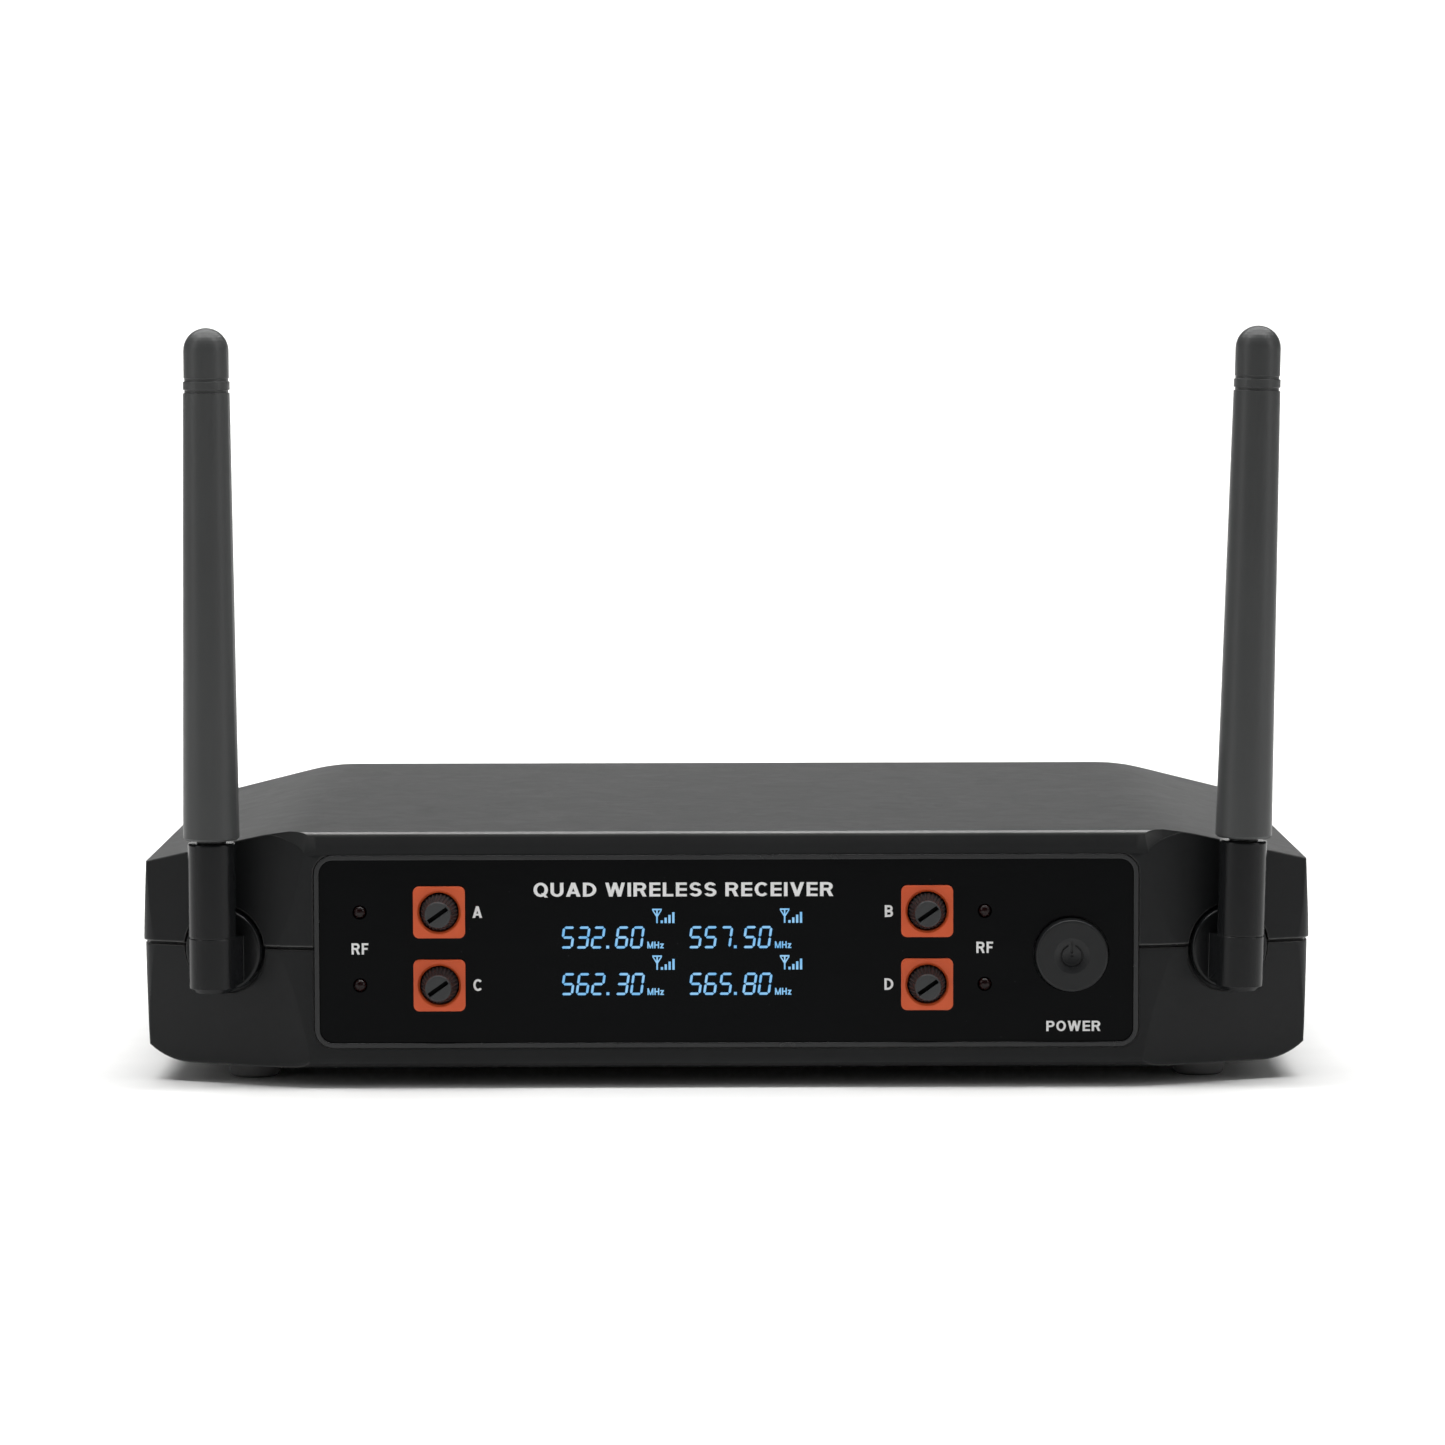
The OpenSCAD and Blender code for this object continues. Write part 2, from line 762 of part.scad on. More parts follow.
// hub disc, upright barrel, the web between them, and the hollow axle
module antenna_elbow(s) {
    color("#3b3c3d")
    on_antenna(s)
        difference() {
            union() {
                rotate_extrude($fn = 64)
                    polygon(concat([[0, 0.2 - recess_d], [hub_r, 0.2 - recess_d]],
                        arc([hub_r - 0.6, disc_proud - 0.6], 0.6, 0, 90, 4), [[0, disc_proud]]));
                translate([0, 0, whip_off]) rotate([-90, 0, 0]) barrel();
                // web that carries the barrel on the disc
                translate([-barrel_r, -6.6, 0]) cube([2 * barrel_r, 10, whip_off]);
                translate([0, 0, -axle_end]) cylinder(r = axle_r, h = axle_end);
            }
            // passage for the lead, from the axle to the whip's socket
            translate([0, 0, -axle_end - 1]) cylinder(r = 2, h = axle_end + 1 + whip_off);
            translate([0, 0, whip_off]) rotate([-90, 0, 0]) cylinder(r = 2, h = barrel_high + 1);
            translate([0, barrel_high - 2.6, whip_off]) rotate([-90, 0, 0]) cylinder(r = 3.25, h = 4);
            // seat of the retaining clip
            translate([0, 0, -8.3]) difference() {
                cylinder(r = axle_r + 1, h = 1);
                translate([0, 0, -1]) cylinder(r = axle_r - 0.6, h = 3);
            }
        }
}

// turned form of the barrel, with a chamfered foot, a seam and a collar edge
module barrel()
    rotate_extrude($fn = 64)
        polygon(concat(
            [[0, barrel_low], [barrel_r - 1, barrel_low], [barrel_r, barrel_low + 1],
            [barrel_r, 3.3], [barrel_r - 0.12, 3.4], [barrel_r - 0.12, 3.6], [barrel_r, 3.7]],
            arc([barrel_r - 0.5, barrel_high - 0.5], 0.5, 0, 90, 4), [[0, barrel_high]]));

// friction washer between the boss and the clip
module antenna_washer(s) {
    color("#8a8c8e")
    on_antenna(s) translate([0, 0, -8.2]) difference() {
        cylinder(r = 7.5, h = 2.1);
        translate([0, 0, -1]) cylinder(r = axle_r + fit, h = 4);
        translate([0, 0, -1]) cylinder(r = 6.5, h = 1.8);
    }
}

// spring clip in the axle's groove
module antenna_clip(s) {
    color("#b4b7ba")
    on_antenna(s) translate([0, 0, -8.25]) difference() {
        cylinder(r = 6.2, h = 0.85);
        translate([0, 0, -1]) cylinder(r = axle_r - 0.55, h = 3);
        translate([-2.4, -8, -1]) cube([4.8, 8, 3]);
    }
}

// points of a coaxial lead, from inside the axle down to its board socket
function lead_points(s) =
    let (m = side_of(s), d = [-m * sin(sweep), cos(sweep), 0],
        h = [m * hub_x, front_y + swept_depth(hub_x), seam_z],
        a = h + 5 * d, b = h + 24 * d,
        e = [m * 95, front_y + 52, deck_z + board_t + 2], f = e + [0, 0, 20])
    [for (i = [0:14]) let (t = i / 14, u = 1 - t)
        u * u * u * a + 3 * u * u * t * b + 3 * u * t * t * f + t * t * t * e];

// one ring of a round lead about point p, square to its run
function lead_ring(p, run, r, n) =
    let (side = cross(run, [0.3, 0.1, 1]), u = side / norm(side), v = cross(u, run))
    [for (k = [0:n - 1]) p + r * (cos(360 * k / n) * u + sin(360 * k / n) * v)];

module antenna_lead(s) {
    n = 8;
    pts = lead_points(s);
    last = len(pts) - 1;
    rings = [for (i = [0:last])
        let (run = pts[min(i + 1, last)] - pts[max(i - 1, 0)])
        lead_ring(pts[i], run / norm(run), 0.9, n)];
    color("#111213") {
        polyhedron(
            points = [for (ring = rings) for (p = ring) p],
            faces = concat(
                [[for (k = [n - 1:-1:0]) k]],
                [for (i = [0:last - 1], k = [0:n - 1]) let (j = (k + 1) % n)
                    [i * n + k, i * n + j, (i + 1) * n + j, (i + 1) * n + k]],
                [[for (k = [0:n - 1]) last * n + k]]));
        translate([pts[last].x, pts[last].y, deck_z + board_t + 0.05])
            cylinder(r = 1.8, h = 2.4, $fn = 24);
    }
}

// ---- feet and fasteners ---------------------------------------------------

function corner_x(c) = c == "front_left" || c == "rear_left" ? -foot_x : foot_x;
function corner_y(c) = c == "front_left" || c == "front_right" ? foot_y[0] : foot_y[1];

// rubber foot with a softened lower edge, set in a shallow seat
module foot(c) {
    r = foot_d / 2;
    color("#141515")
    translate([corner_x(c), front_y + corner_y(c), 0])
        rotate_extrude()
            polygon(concat([[0, 0]], arc([r - 1.4, 1], 1, -90, 0, 4),
                [[r, foot_h + 0.9], [0, foot_h + 0.9]]));
}

// a pan-head screw, head down on Z = 0 and shank upwards
module screw(head_r, head_h, shank_r, shank_l) {
    difference() {
        union() {
            rotate_extrude($fn = 32)
                polygon(concat([[0, 0]], arc([head_r - 0.6, 0.6], 0.6, -90, 0, 3),
                    [[head_r, head_h], [0, head_h]]));
            cylinder(r = shank_r, h = head_h + shank_l, $fn = 24);
        }
        // cross recess
        for (a = [0, 90]) rotate([0, 0, a])
            translate([-head_r * 0.55, -0.3, -0.1]) cube([head_r * 1.1, 0.6, head_h * 0.7]);
    }
}

module case_screws() {
    color("#9a9da0")
    for (x = [-1, 1], y = screw_y)
        translate([x * screw_x, front_y + y, seam_z - 10.4])
            screw(2.8, 2.35, 1.2, 16);
}

module board_screws() {
    color("#9a9da0")
    for (x = [-1, 1], y = screw_y)
        translate([x * post_x, front_y + y, deck_z + board_t + 1.9])
            rotate([180, 0, 0]) screw(2.4, 1.85, 1.05, 6);
}

module xlr_screws() {
    color("#9a9da0")
    for (c = channels) on_rear(xlr_x(c), socket_z)
        for (p = xlr_screw_spots())
            translate([-p.x, p.y, 3.65]) rotate([180, 0, 0]) screw(2.6, 1.6, 1.25, 6);
}

// ---- nodes ----------------------------------------------------------------

top_shell();
bottom_shell();
rear_plate();
panel_bezel();
front_panel();
display_module();
front_board();
main_board();
rf_shields();
ribbon_cable();
power_button();
switch_plunger();
power_switch();
for (c = channels) {
    knob_surround(c);
    volume_knob(c);
    pot_shaft(c);
    potentiometer(c);
    rf_led(c);
    xlr_output(c);
}
xlr_pins();
mix_jack();
mix_jack_nut();
dc_inlet();
for (s = sides) {
    antenna_whip(s);
    antenna_elbow(s);
    antenna_washer(s);
    antenna_clip(s);
    antenna_lead(s);
}
for (c = corners)
    foot(c);
case_screws();
board_screws();
xlr_screws();
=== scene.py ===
"""Looks of the four-channel wireless receiver: finishes, printing, display and studio."""
import math

import bpy
import bmesh
from mathutils import Matrix, Vector


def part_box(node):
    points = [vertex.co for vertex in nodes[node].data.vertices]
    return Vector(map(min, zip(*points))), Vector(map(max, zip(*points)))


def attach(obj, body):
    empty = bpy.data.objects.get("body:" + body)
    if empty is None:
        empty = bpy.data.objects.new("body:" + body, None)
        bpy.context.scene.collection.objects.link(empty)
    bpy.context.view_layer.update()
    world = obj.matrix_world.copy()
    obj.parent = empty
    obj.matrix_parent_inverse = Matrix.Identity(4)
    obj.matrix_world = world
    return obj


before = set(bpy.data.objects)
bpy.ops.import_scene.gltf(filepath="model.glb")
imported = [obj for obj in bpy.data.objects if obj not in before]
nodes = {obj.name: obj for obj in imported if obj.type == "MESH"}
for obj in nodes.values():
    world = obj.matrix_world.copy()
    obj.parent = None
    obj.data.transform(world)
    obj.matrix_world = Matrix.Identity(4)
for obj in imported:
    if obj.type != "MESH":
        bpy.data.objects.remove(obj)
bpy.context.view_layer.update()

MM = 0.001
CHANNELS = "abcd"
SIDES = ("left", "right")
CLOUD_MM = 34               # size of the clouds in a moulding's colour
SMEAR_MM = 9                # size of the handling marks on it
WORN_HIGHLIGHT_GREY = "#6a6a68"     # black plastic where it is worn, and the painted highlight along its edges
# painted shade down in slots and flutes
PAINTED_SLOT_SHADE = "#060606"


# ---- small helpers ----------------------------------------------------------

def linear(hex_value, alpha=1.0):
    """An sRGB hex value as a linear colour."""
    parts = [int(hex_value[i:i + 2], 16) / 255 for i in (1, 3, 5)]
    return [c / 12.92 if c <= 0.04045 else ((c + 0.055) / 1.055) ** 2.4 for c in parts] + [alpha]


def per_mm(size):
    """Texture scale, in metres of object space, of a pattern whose features are size mm apart."""
    return 1 / (size * MM)


def add(tree, kind, links=None, values=None, **settings):
    """Adds a node with its settings, constant values and incoming links."""
    made = tree.nodes.new("ShaderNode" + kind)
    for name, setting in settings.items():
        setattr(made, name, setting)
    for name, value in (values or {}).items():
        made.inputs[name].default_value = value
    for name, output in (links or {}).items():
        tree.links.new(output, made.inputs[name])
    return made


def centre(node):
    """Middle of a CAD node's box."""
    low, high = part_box(node)
    return (low + high) / 2


def new_material(name):
    """An empty node material with its output node."""
    material = bpy.data.materials.new(name)
    material.use_nodes = True
    tree = material.node_tree
    tree.nodes.clear()
    return material, tree, tree.nodes.new("ShaderNodeOutputMaterial")


def object_space(tree, stretch=(1, 1, 1)):
    """Object coordinates, stretched along an axis for drawn or flowed patterns."""
    place = add(tree, "TexCoord")
    return add(tree, "Mapping", {"Vector": place.outputs["Object"]}, {"Scale": stretch}).outputs[0]


def shade_by(tree, factor, dark, light):
    """Two tones of one colour, mixed by a pattern."""
    ramp = add(tree, "ValToRGB", {"Fac": factor})
    ramp.color_ramp.elements[0].position = 0.3
    ramp.color_ramp.elements[1].position = 0.7
    ramp.color_ramp.elements[0].color = linear(dark)
    ramp.color_ramp.elements[1].color = linear(light)
    return ramp.outputs["Color"]


def between(tree, factor, low, high, start=0.3, end=0.7):
    """A pattern's value spread between two limits."""
    spread = add(tree, "MapRange", {"Value": factor},
                 {"From Min": start, "From Max": end, "To Min": low, "To Max": high})
    return spread.outputs["Result"]


def soft_edges(tree, round_mm):
    """Normals of a piece whose sharp corners have been broken by a small radius."""
    return add(tree, "Bevel", values={"Radius": round_mm * MM}, samples=6).outputs["Normal"]


def mixed(tree, factor, low, high):
    """A colour between two others, each a hex value or a link."""
    values = {slot: linear(c) for slot, c in ((6, low), (7, high)) if isinstance(c, str)}
    links = {slot: c for slot, c in ((6, low), (7, high)) if not isinstance(c, str)}
    return add(tree, "Mix", {"Factor": factor, **links}, values, data_type="RGBA").outputs[2]


def worn_highlight_edge(tree, corners, broken, wear_and_highlight):
    """How far a spot lies on an edge, for wear and a painted highlight, up to the given strength: where a
    broken corner turns from its faces or, on a piece with a modelled round, where that round turns from the
    front to the top."""
    straight = add(tree, "NewGeometry").outputs["Normal"]
    if broken:
        likeness = add(tree, "VectorMath", {0: corners, 1: straight}, operation="DOT_PRODUCT")
        return between(tree, likeness.outputs["Value"], wear_and_highlight, 0.0, 0.80, 0.99)
    faces = add(tree, "SeparateXYZ", {0: straight})
    slant = add(tree, "Math", {0: faces.outputs["Y"], 1: faces.outputs["Z"]}, operation="MULTIPLY")
    return between(tree, slant.outputs[0], wear_and_highlight, 0.0, -0.4, -0.02)


def moulded(name, dark, light, rough, grain_mm, grain_height_mm, ior=1.5, stretch=(1, 1, 1),
            specular=0.3, wear_and_highlight=0.0, round_mm=0.15, slot_mm=0.0):
    """Moulded plastic or rubber: tool grain in the bump, handling marks in the gloss, cloudy
    colour, corners broken by round_mm, edges painted paler, smoother and more reflective as wear and as a
    painted highlight, and painted shade, near black and barely reflective, in slots about slot_mm wide."""
    material, tree, out = new_material(name)
    space = object_space(tree, stretch)
    grain = add(tree, "TexNoise", {"Vector": space},
                {"Scale": per_mm(grain_mm), "Detail": 3.0, "Roughness": 0.55}).outputs["Fac"]
    clouds = add(tree, "TexNoise", {"Vector": space},
                 {"Scale": per_mm(CLOUD_MM), "Detail": 4.0, "Roughness": 0.6}).outputs["Fac"]
    smears = add(tree, "TexNoise", {"Vector": space},
                 {"Scale": per_mm(SMEAR_MM), "Detail": 6.0, "Roughness": 0.7,
                  "Distortion": 1.2}).outputs["Fac"]
    colour = shade_by(tree, clouds, dark, light)
    gloss = between(tree, smears, rough[0], rough[1])
    corners = soft_edges(tree, round_mm) if round_mm else add(tree, "NewGeometry").outputs["Normal"]
    shine = None
    # edges painted paler, glossier and more reflective: wear, and a painted highlight along them
    if wear_and_highlight:
        edge = worn_highlight_edge(tree, corners, round_mm > 0, wear_and_highlight)
        rubbed_and_highlit = add(tree, "Math", {0: edge, 1: clouds}, operation="MULTIPLY").outputs[0]
        colour = mixed(tree, rubbed_and_highlit, colour, WORN_HIGHLIGHT_GREY)
        gloss = add(tree, "Mix", {"Factor": edge, 2: gloss}, {3: 0.26}, data_type="FLOAT").outputs[0]
        shine = between(tree, edge, specular, 0.7, 0.0, 1.0)
    # painted shade: near black and barely reflective where little open air reaches, in slots and flutes
    if slot_mm:
        open_air = add(tree, "AmbientOcclusion", values={"Distance": slot_mm * MM}, samples=6,
                       only_local=True).outputs["AO"]
        clear = between(tree, open_air, 0.0, 1.0, 0.45, 0.95)
        colour = mixed(tree, clear, PAINTED_SLOT_SHADE, colour)
        shine = between(tree, clear, 0.02, specular, 0.0, 1.0)
    bump = add(tree, "Bump", {"Height": grain, "Normal": corners},
               {"Strength": 0.55, "Distance": grain_height_mm * MM})
    body = add(tree, "BsdfPrincipled",
               {"Base Color": colour, "Roughness": gloss, "Normal": bump.outputs["Normal"]},
               {"IOR": ior, "Specular IOR Level": specular})
    if shine:
        tree.links.new(shine, body.inputs["Specular IOR Level"])
    tree.links.new(body.outputs[0], out.inputs["Surface"])
    return material


def plated(name, dark, light, rough, brush_mm, stretch=(1, 1, 1)):
    """Bright plated metal: fine tool lines or grit in the bump and a clouded gloss."""
    material, tree, out = new_material(name)
    space = object_space(tree, stretch)
    lines = add(tree, "TexNoise", {"Vector": space},
                {"Scale": per_mm(brush_mm), "Detail": 2.0}).outputs["Fac"]
    clouds = add(tree, "TexNoise", {"Vector": object_space(tree)},
                 {"Scale": per_mm(6), "Detail": 5.0, "Roughness": 0.65}).outputs["Fac"]
    bump = add(tree, "Bump", {"Height": lines, "Normal": soft_edges(tree, 0.12)},
               {"Strength": 0.3, "Distance": 0.02 * MM})
    body = add(tree, "BsdfPrincipled",
               {"Base Color": shade_by(tree, clouds, dark, light),
                "Roughness": between(tree, clouds, rough[0], rough[1]),
                "Normal": bump.outputs["Normal"]}, {"Metallic": 1.0})
    tree.links.new(body.outputs[0], out.inputs["Surface"])
    return material


# ---- finishes ---------------------------------------------------------------

def case_abs(name="case_abs", round_mm=0.7):
    """ABS, injection moulded in a spark-eroded tool: a dense matt grain that breaks up the light,
    with edges painted paler, smoother and more reflective: wear from hands and shelves, and a painted
    highlight."""
    return moulded(name, "#141516", "#18191a", (0.38, 0.43), 0.42, 0.04, ior=1.53,
                   specular=0.16, wear_and_highlight=0.8, round_mm=round_mm)


def rim_abs():
    """ABS, moulded in a polished tool and left satin: smoother and a little lighter than the case."""
    return moulded("rim_abs", "#161718", "#1c1d1e", (0.24, 0.28), 0.3, 0.008, ior=1.53, round_mm=0.35)


def lens_acrylic():
    """Cast acrylic, printed black on its back: deep gloss with faint wipe marks and dust."""
    material, tree, out = new_material("lens_acrylic")
    space = object_space(tree)
    wipes = add(tree, "TexNoise", {"Vector": object_space(tree, (1, 1, 3))},
                {"Scale": per_mm(26), "Detail": 7.0, "Roughness": 0.7,
                 "Distortion": 0.8}).outputs["Fac"]
    dust = add(tree, "TexVoronoi", {"Vector": space}, {"Scale": per_mm(4.5)},
               feature="F1").outputs["Distance"]
    specks = between(tree, dust, 1.0, 0.0, 0.02, 0.05)
    sheet = add(tree, "TexNoise", {"Vector": space}, {"Scale": per_mm(60), "Detail": 1.0}).outputs["Fac"]
    wave = add(tree, "Bump", {"Height": sheet, "Normal": soft_edges(tree, 0.15)},
               {"Strength": 0.08, "Distance": 0.4 * MM})
    tint = mixed(tree, specks, "#040506", "#1b1c1e")
    body = add(tree, "BsdfPrincipled",
               {"Base Color": tint, "Roughness": between(tree, wipes, 0.07, 0.2),
                "Normal": wave.outputs["Normal"]},
               {"IOR": 1.49, "Specular IOR Level": 0.05})
    tree.links.new(body.outputs[0], out.inputs["Surface"])
    return material


def surround_abs():
    """Orange ABS, moulded: even satin colour with a fine grain."""
    # edges painted a little paler and more reflective: wear, and a painted highlight
    return moulded("surround_abs", "#cb5026", "#d55b2f", (0.36, 0.44), 0.25, 0.02, ior=1.53, wear_and_highlight=0.2)


def knob_nylon():
    """Black nylon, moulded: dull from handling, with painted shade, near black, down in its slot and
    flutes.
    """
    return moulded("knob_nylon", "#2a2b2c", "#343536", (0.4, 0.5), 0.2, 0.03, ior=1.53, slot_mm=1.6)


def button_abs():
    """Black ABS, moulded in a polished tool: satin with a soft sheen."""
    return moulded("button_abs", "#131415", "#171819", (0.4, 0.46), 0.22, 0.015, ior=1.53, specular=0.26)


def lamp_epoxy():
    """Dyed epoxy, cast round the lamp: an unlit, nearly black red dome with a soft gloss."""
    material, tree, out = new_material("lamp_epoxy")
    depth = add(tree, "TexNoise", {"Vector": object_space(tree)}, {"Scale": per_mm(1.4), "Detail": 2.0})
    body = add(tree, "BsdfPrincipled",
               {"Base Color": shade_by(tree, depth.outputs["Fac"], "#0e0202", "#1c0303")},
               {"Roughness": 0.25, "IOR": 1.55, "Transmission Weight": 0.2, "Specular IOR Level": 0.1})
    tree.links.new(body.outputs[0], out.inputs["Surface"])
    return material


def sleeve_tpe():
    """Thermoplastic elastomer, moulded over the aerial: satin, with faint flow lines along it."""
    # edges painted a little paler and more reflective: wear, and a painted highlight
    return moulded("sleeve_tpe", "#383939", "#404141", (0.36, 0.41), 0.5, 0.03, ior=1.5,
                   stretch=(1, 1, 0.25), wear_and_highlight=0.3)


def hub_nylon():
    """Black nylon, moulded and polished: darker and glossier than the sleeve above it."""
    # edges painted a little paler and more reflective: wear, and a painted highlight
    return moulded("hub_nylon", "#111213", "#151617", (0.22, 0.27), 0.5, 0.015, ior=1.53,
                   stretch=(1, 1, 0.4), specular=0.16, wear_and_highlight=0.3, round_mm=0.2)


def foot_nitrile():
    """Nitrile rubber, moulded: dull, its black turned grey by a dusty bloom."""
    return moulded("foot_nitrile", "#626263", "#6e6e6e", (0.62, 0.8), 0.35, 0.06, ior=1.52)


def rear_abs():
    """ABS, moulded plain: the flat plate that carries the sockets."""
    return moulded("rear_abs", "#161718", "#1c1d1e", (0.4, 0.5), 0.4, 0.04, ior=1.53)


def socket_nylon():
    """Glass-filled nylon, moulded: faintly streaked black."""
    return moulded("socket_nylon", "#121314", "#1a1b1c", (0.3, 0.42), 0.3, 0.03, ior=1.53,
                   stretch=(1, 0.4, 1))


def component_pbt():
    """PBT, moulded: the dull grey-black of electronic parts."""
    return moulded("component_pbt", "#1b1c1e", "#242628", (0.45, 0.6), 0.3, 0.03, ior=1.55)


def plunger_nylon():
    """Natural nylon, moulded: milky and waxy."""
    return moulded("plunger_nylon", "#c9c7bc", "#d8d6cc", (0.35, 0.45), 0.3, 0.02, ior=1.53)


def sheath_pvc():
    """PVC, extruded: smooth, with a faint haze."""
    return moulded("sheath_pvc", "#1a1a1b", "#262627", (0.35, 0.5), 0.4, 0.02, ior=1.53)


def board_mask():
    """Glass-epoxy laminate under green solder mask, screened and baked: glossy over a fine weave."""
    material, tree, out = new_material("board_mask")
    space = object_space(tree)
    weave = add(tree, "TexBrick", {"Vector": space},
                {"Scale": per_mm(2.5), "Mortar Size": 0.06, "Color1": linear("#123f26"),
                 "Color2": linear("#16492c"), "Mortar": linear("#0d3320")})
    bump = add(tree, "Bump", {"Height": weave.outputs["Fac"]}, {"Strength": 0.2, "Distance": 0.03 * MM})
    body = add(tree, "BsdfPrincipled",
               {"Base Color": weave.outputs["Color"], "Normal": bump.outputs["Normal"]},
               {"Roughness": 0.28, "IOR": 1.55})
    tree.links.new(body.outputs[0], out.inputs["Surface"])
    return material


def tin_plate():
    """Tinned steel, stamped: bright and slightly rolled."""
    return plated("tin_plate", "#a9aaab", "#bcbdbe", (0.28, 0.42), 0.4, (1, 0.05, 1))


def nickel_plate():
    """Nickel on brass, turned: bright, with fine rings left by the tool."""
    return plated("nickel_plate", "#a5a39e", "#bab8b2", (0.16, 0.28), 0.2, (1, 0.1, 1))


def zinc_screw():
    """Zinc-plated steel, cold headed: bluish and softly clouded."""
    return plated("zinc_screw", "#8f9295", "#a7aaad", (0.3, 0.45), 0.25)


def screen_ink():
    """White epoxy ink, screen printed: matt and just thick enough to feel."""
    return moulded("screen_ink", "#dcdcdc", "#e6e6e6", (0.5, 0.6), 0.12, 0.01, ior=1.5)


def display_glow(name, dim, bright, strength):
    """Backlit liquid crystal: blue light through a diffuser, a little uneven."""
    material, tree, out = new_material(name)
    cloud = add(tree, "TexNoise", {"Vector": object_space(tree)}, {"Scale": per_mm(3), "Detail": 2.0})
    light = add(tree, "Emission", {"Color": shade_by(tree, cloud.outputs["Fac"], dim, bright)},
                {"Strength": strength})
    tree.links.new(light.outputs[0], out.inputs["Surface"])
    return material


# ---- finishes on the CAD pieces ----------------------------------------------

def dress(names, material):
    """Gives CAD nodes their finish."""
    for name in names:
        nodes[name].data.materials.clear()
        nodes[name].data.materials.append(material)


def on_channels(stem):
    """A node's names on the four channels."""
    return [f"{stem}_{c}" for c in CHANNELS]


def on_sides(*stems):
    """Antenna nodes' names on both sides."""
    return [f"antenna_{stem}_{s}" for stem in stems for s in SIDES]


FEET = [f"foot_{a}_{b}" for a in ("front", "rear") for b in SIDES]
dress(["top_shell", "bottom_shell"], case_abs())
dress(["panel_bezel"], rim_abs())
dress(["front_panel"], lens_acrylic())
dress(["rear_plate"], rear_abs())
dress(on_channels("knob_surround"), surround_abs())
dress(on_channels("volume_knob"), knob_nylon())
dress(["power_button"], button_abs())
dress(on_channels("rf_led"), lamp_epoxy())
dress(on_sides("whip"), sleeve_tpe())
dress(on_sides("elbow"), hub_nylon())
dress(FEET, foot_nitrile())
dress(on_channels("xlr_output"), socket_nylon())
dress(["dc_inlet", "mix_jack"] + on_channels("potentiometer") + ["power_switch"], component_pbt())
dress(["switch_plunger"], plunger_nylon())
dress(["ribbon_cable"] + on_sides("lead"), sheath_pvc())
dress(["front_board", "main_board"], board_mask())
dress(["rf_shields", "display_module"], tin_plate())
dress(["mix_jack_nut", "xlr_pins"], nickel_plate())
dress(["case_screws", "board_screws", "xlr_screws"] + on_channels("pot_shaft")
      + on_sides("washer", "clip"), zinc_screw())


# ---- the edge over the panel ---------------------------------------------------

BROW_R = 1.2 * MM           # round of the edge itself
SHELL_BROW_R = 6 * MM       # round of the shell's brow, which the edge covers
BROW_TUCK = 0.02 * MM       # how far the edge sinks into that brow
BROW_DEPTH = 5.1 * MM       # from the top of the case down to the panel's rim
BROW_HALF = 104 * MM        # past where the brow runs out into the swept corners


def solid_piece(name, build, material):
    """A mesh piece riding on the case, from a function that fills a bmesh."""
    form = bmesh.new()
    build(form)
    bmesh.ops.recalc_face_normals(form, faces=form.faces)
    mesh = bpy.data.meshes.new(name)
    form.to_mesh(mesh)
    form.free()
    mesh.materials.append(material)
    piece = bpy.data.objects.new(name, mesh)
    bpy.context.scene.collection.objects.link(piece)
    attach(piece, "case")
    return piece


def outer_planes(form):
    """Normals and distances of the outer flat facets of the slanting crown and the swept front."""
    found = {}
    for face in form.polygons:
        n, reach = face.normal, face.normal.dot(face.center)
        crown = n.z > 0.9 and abs(n.y) < 0.01 and reach > 70 * MM
        swept = n.y < -0.9 and abs(n.z) < 0.1 and reach > 75 * MM
        key = tuple(round(v, 3) for v in n)
        if abs(n.x) > 0.004 and (crown or swept) and reach > found.get(key, (n, 0))[1]:
            found[key] = (n.copy(), reach)
    return [(n, reach) for n, reach in found.values()
            if max(n.dot(v.co) for v in form.vertices) < reach + 0.01 * MM]


def quarter(radius, about, start, end, steps):
    """Points on an arc round a spot that lies about back from the front and down from the top."""
    turn = [math.radians(start + (end - start) * i / steps) for i in range(steps + 1)]
    return [(about + radius * math.cos(a), radius * math.sin(a) - about) for a in turn]


def brow_profile():
    """Profile of the edge, back from the front and up from the top of the case: its own round
    outside, and inside the round of the shell that it lies on."""
    outside = quarter(BROW_R, BROW_R, 90, 180, 9)
    inside = quarter(SHELL_BROW_R - BROW_TUCK, SHELL_BROW_R, 172, 90, 12)
    return [(SHELL_BROW_R, 0)] + outside + [(0, -BROW_DEPTH)] + inside


def build_brow(form):
    """The edge from swept corner to swept corner, trimmed to the planes of the shell."""
    low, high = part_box("top_shell")
    ends = [[form.verts.new((x, low.y + back, high.z + up)) for back, up in brow_profile()]
            for x in (-BROW_HALF, BROW_HALF)]
    form.faces.new(ends[0])
    form.faces.new(list(reversed(ends[1])))
    for i in range(len(ends[0])):
        j = (i + 1) % len(ends[0])
        form.faces.new((ends[0][i], ends[1][i], ends[1][j], ends[0][j]))
    for normal, reach in outer_planes(nodes["top_shell"].data):
        cut = bmesh.ops.bisect_plane(form, geom=form.verts[:] + form.edges[:] + form.faces[:],
                                     plane_co=normal * reach, plane_no=normal,
                                     clear_outer=True, dist=1e-7)
        rim = [e for e in cut["geom_cut"] if isinstance(e, bmesh.types.BMEdge) and e.is_boundary]
        if rim:
            bmesh.ops.edgeloop_fill(form, edges=rim)
    bmesh.ops.remove_doubles(form, verts=form.verts[:], dist=1e-6)


